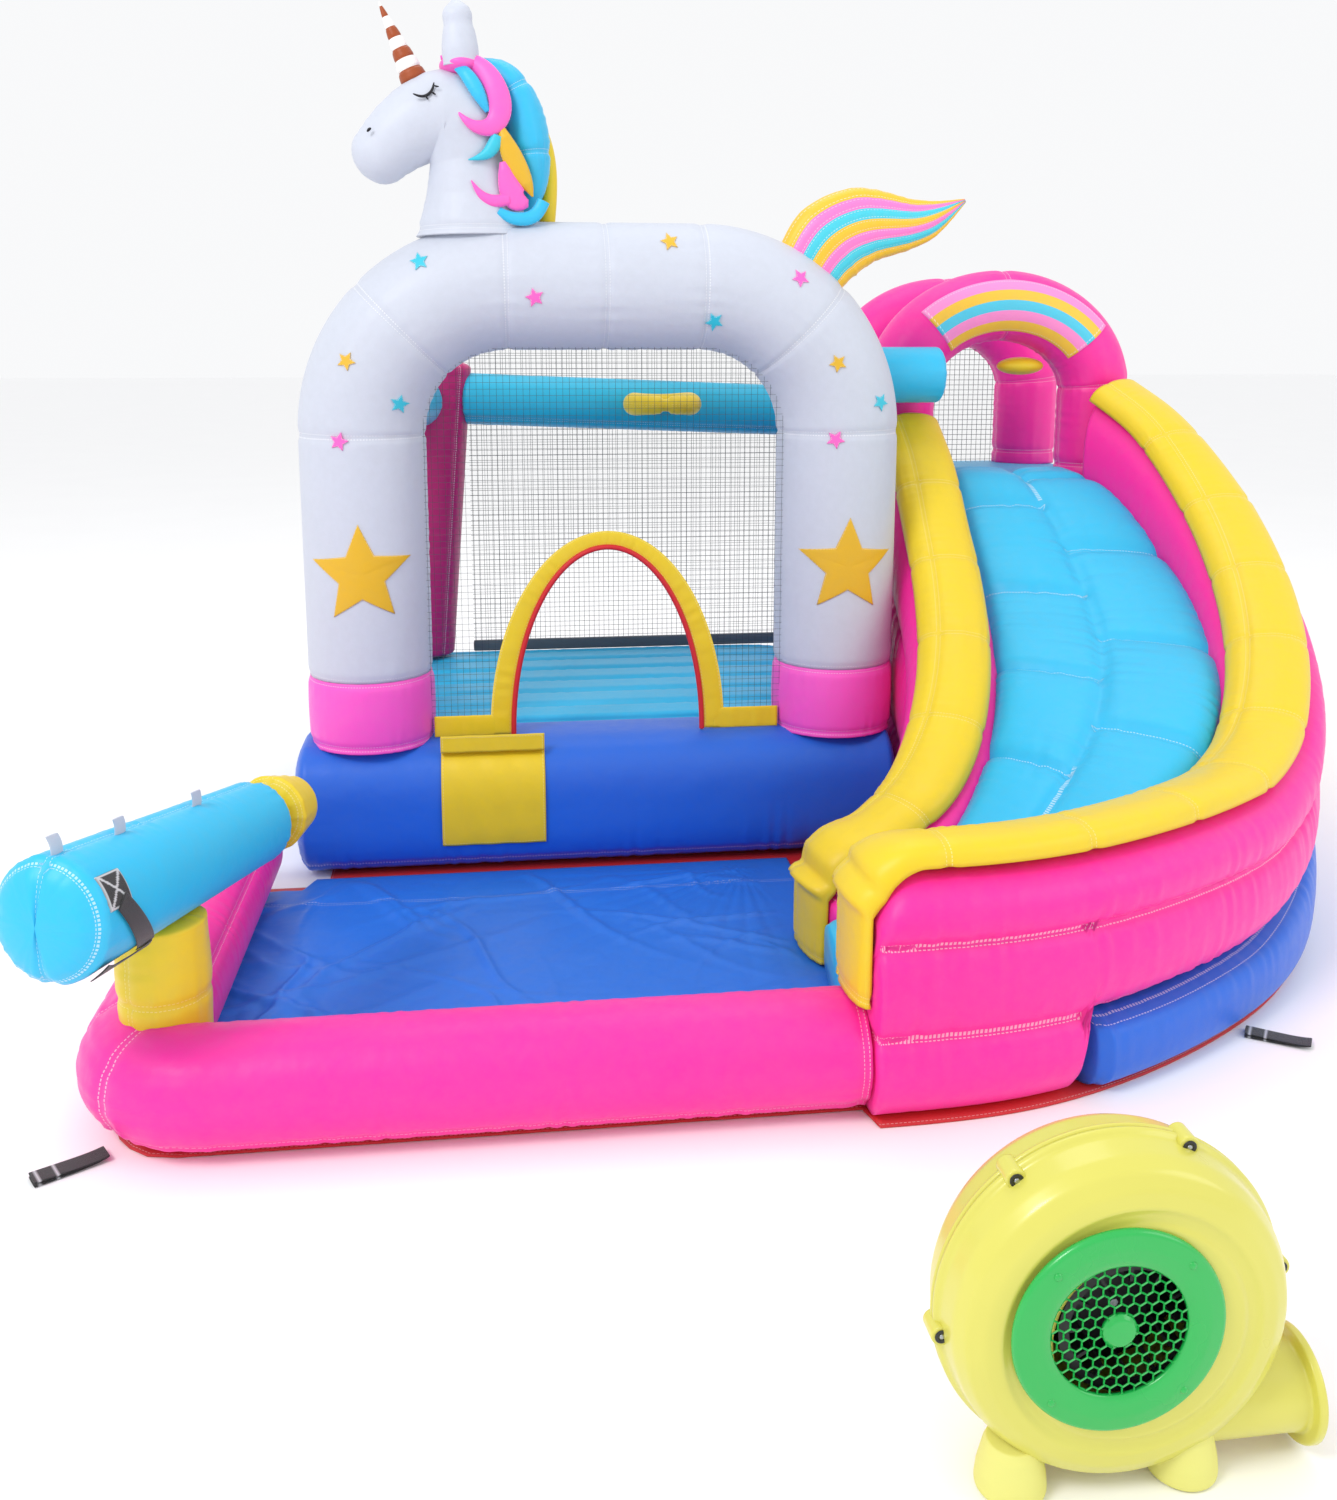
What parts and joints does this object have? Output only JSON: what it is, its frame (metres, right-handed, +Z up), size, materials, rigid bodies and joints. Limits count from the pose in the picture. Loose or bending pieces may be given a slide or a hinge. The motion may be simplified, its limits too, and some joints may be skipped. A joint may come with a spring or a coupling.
{
  "type": "inflatable bounce house",
  "caption": "Inflatable bounce house with an arched net entry, unicorn topper, curved slide into a splash pool, toy cannon and air blower.",
  "frame": {"origin": "middle of the footprint, on the ground under the object", "axes": "+Z up, +Y from the pool towards the rear net, +X from the arch towards the slide tower"},
  "size_m": [3.7315, 4.185, 2.6034],
  "materials": {
    "pink_fabric": "satin",
    "pale_pink_fabric": "satin",
    "magenta_fabric": "satin",
    "white_fabric": "satin",
    "blue_fabric": "satin",
    "cyan_fabric": "satin",
    "rainbow_fabric": "satin",
    "yellow_fabric": "satin",
    "red_fabric": "matte",
    "horn_fabric": "satin",
    "netting": "matte",
    "webbing": "matte",
    "blower_shell": "gloss",
    "blower_green": "gloss",
    "dark_plastic": "satin",
    "red_plastic": "gloss",
    "steel": "satin",
    "foot_rubber": "matte"
  },
  "bodies": {
    "root": {"base_front": "blue_fabric", "base_block": "blue_fabric", "jump_floor": "cyan_fabric", "white_arch": "white_fabric", "leg_band_left": "pale_pink_fabric", "leg_band_right": "pale_pink_fabric", "back_post_left": "magenta_fabric", "back_beam": "cyan_fabric", "side_beam_left": "cyan_fabric", "side_beam_right": "cyan_fabric", "link_tube": "cyan_fabric", "net_front": "netting", "entry_band": "yellow_fabric", "entry_binding": "red_fabric", "label_patch": "yellow_fabric", "net_back": "netting", "net_left": "netting", "hoop_ring": "yellow_fabric", "unicorn_head": "white_fabric", "unicorn_horn": "horn_fabric", "unicorn_ears": "white_fabric", "unicorn_mane": "rainbow_fabric", "unicorn_tail": "rainbow_fabric", "pool_wall_left": "pink_fabric", "pool_wall_front": "pink_fabric", "slide_wall_inner": "pink_fabric", "slide_cap_inner": "yellow_fabric", "slide_wall_outer": "pink_fabric", "slide_skirt": "blue_fabric", "slide_cap_outer": "yellow_fabric", "slide_bed": "cyan_fabric", "tower_base": "blue_fabric", "tower_block": "pink_fabric", "tower_deck": "cyan_fabric", "tower_arch_front": "pink_fabric", "tower_arch_back": "pink_fabric", "tower_net_back": "netting", "grab_pad": "yellow_fabric", "climb_ramp": "yellow_fabric", "cannon_post": "yellow_fabric", "anchor_front_left": "webbing", "anchor_front_right": "webbing", "anchor_rear_left": "webbing", "anchor_rear_right": "webbing", "air_inlet_sleeve": "blue_fabric", "ground_sheet": "red_fabric", "pool_floor": "blue_fabric", "blower_casing_front": "blower_shell", "blower_casing_back": "blower_shell", "blower_grille": "blower_green", "blower_motor": "dark_plastic", "blower_outlet": "blower_shell", "blower_foot_left": "foot_rubber", "blower_foot_right": "foot_rubber", "blower_gland": "dark_plastic"},
    "impeller": {"blower_impeller": "dark_plastic", "blower_shaft": "steel"},
    "switch": {"blower_switch": "red_plastic"},
    "cannon": {"cannon_barrel": "cyan_fabric", "cannon_breech": "yellow_fabric"}
  },
  "joints": [
    {"name": "impeller_spin", "type": "hinge", "parent": "root", "child": "impeller", "pos_m": [-0.0458, -1.9912, 0.27], "axis": [0, 1, 0], "continuous": true},
    {"name": "switch_rock", "type": "hinge", "parent": "root", "child": "switch", "pos_m": [-0.1578, -1.8972, 0.27], "axis": [1, 0, 0], "range_deg": [-18, 0]},
    {"name": "cannon_swivel", "type": "hinge", "parent": "root", "child": "cannon", "pos_m": [-1.6198, -0.8862, 0.5], "axis": [0, 0, 1], "range_deg": [-12, 12], "stiffness_Nm_per_rad": 25}
  ]
}
